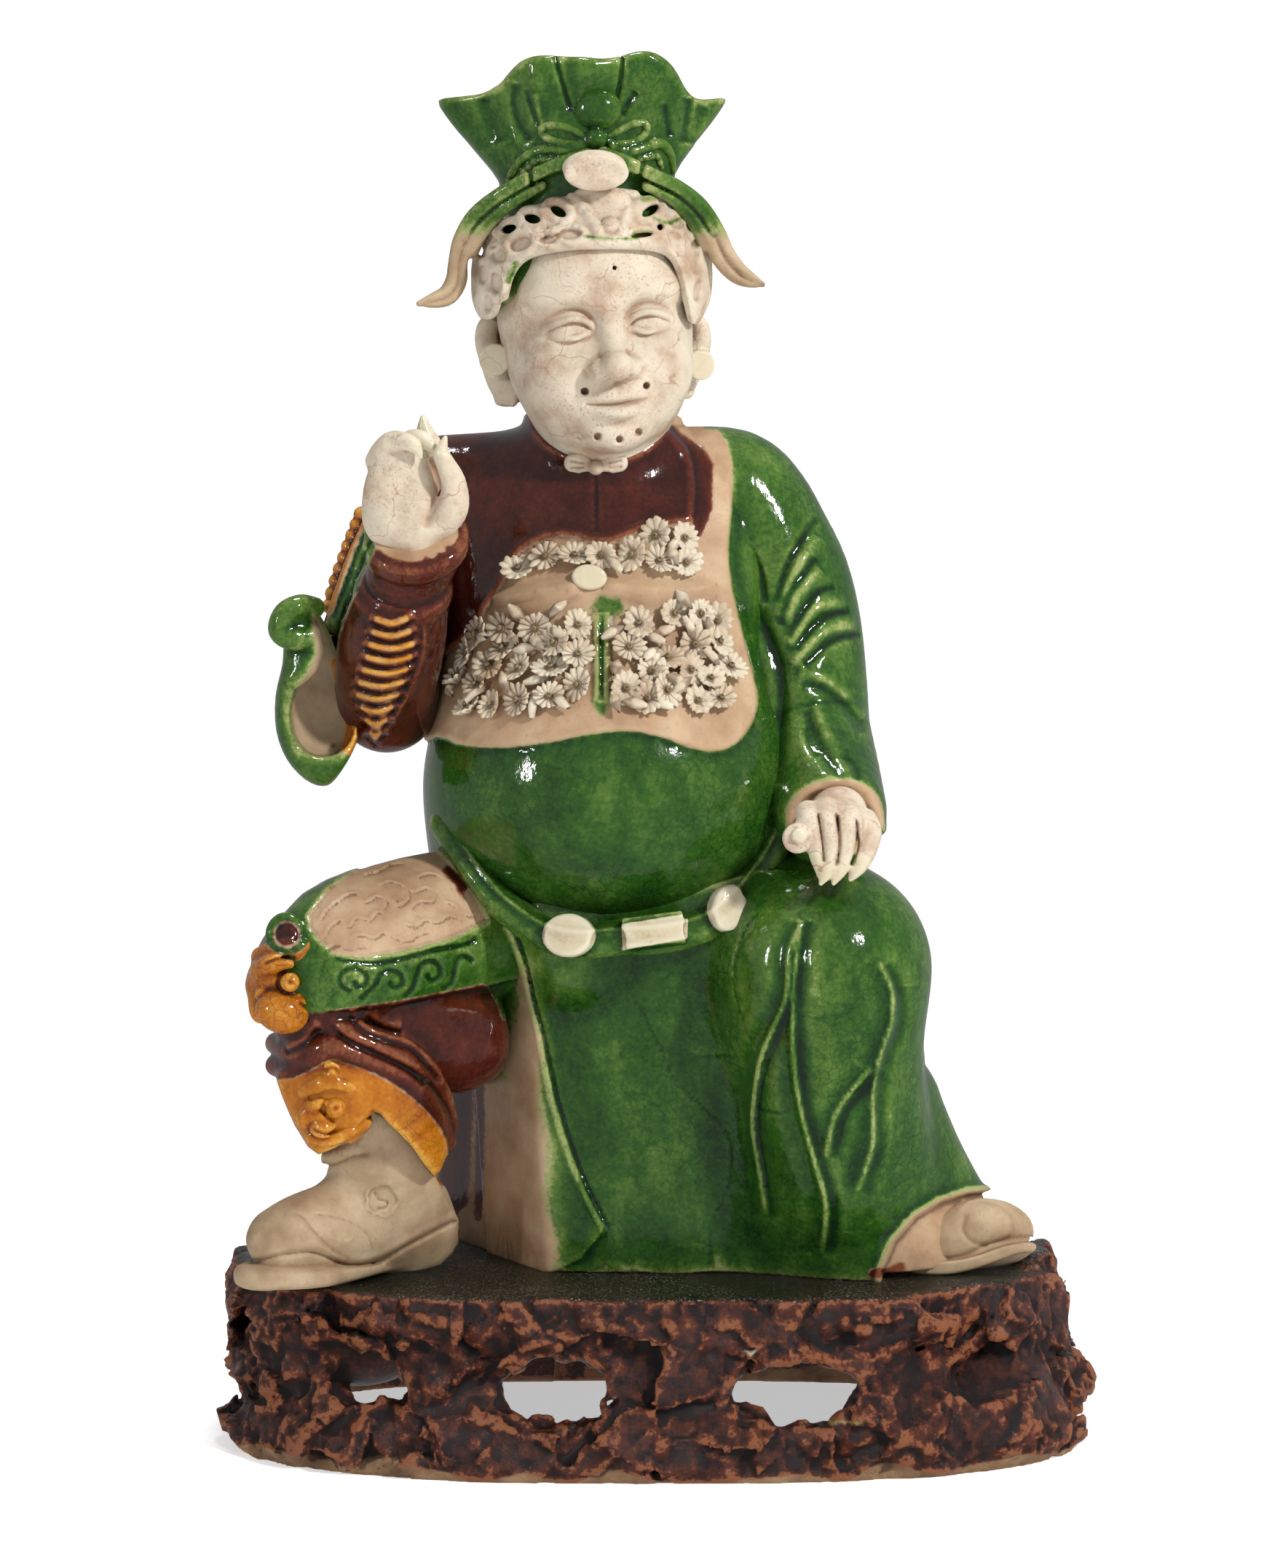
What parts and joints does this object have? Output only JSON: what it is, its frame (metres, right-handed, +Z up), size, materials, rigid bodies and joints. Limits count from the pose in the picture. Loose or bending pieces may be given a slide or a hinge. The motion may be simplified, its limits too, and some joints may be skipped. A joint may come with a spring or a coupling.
{
  "type": "seated deity figure",
  "caption": "Seated robed deity figure in glazed porcelain, one hand raised and one on the knee, with tall cap and flowered armour, on a hollow pierced rockwork plinth.",
  "frame": {"origin": "the middle of the plinth's underside", "axes": "+Z up, the figure faces -Y, and +X is to the right of a viewer who stands in front of it"},
  "size_m": [0.3183, 0.1792, 0.4975],
  "materials": {
    "green_glaze": "glossy crackled green lead glaze, dark where it pools and pale yellow-green on the ridges",
    "brown_glaze": "glossy reddish brown to black glaze, worn to tan on the edges",
    "amber_glaze": "glossy amber glaze, browner in the hollows",
    "biscuit": "bare fired clay, matt, cream to warm beige",
    "ivory_glaze": "thin ivory glaze on nails, buttons and flowers"
  },
  "bodies": {
    "root": {"seated_deity": "green_glaze", "rockwork_plinth": "brown_glaze"}
  },
  "joints": []
}
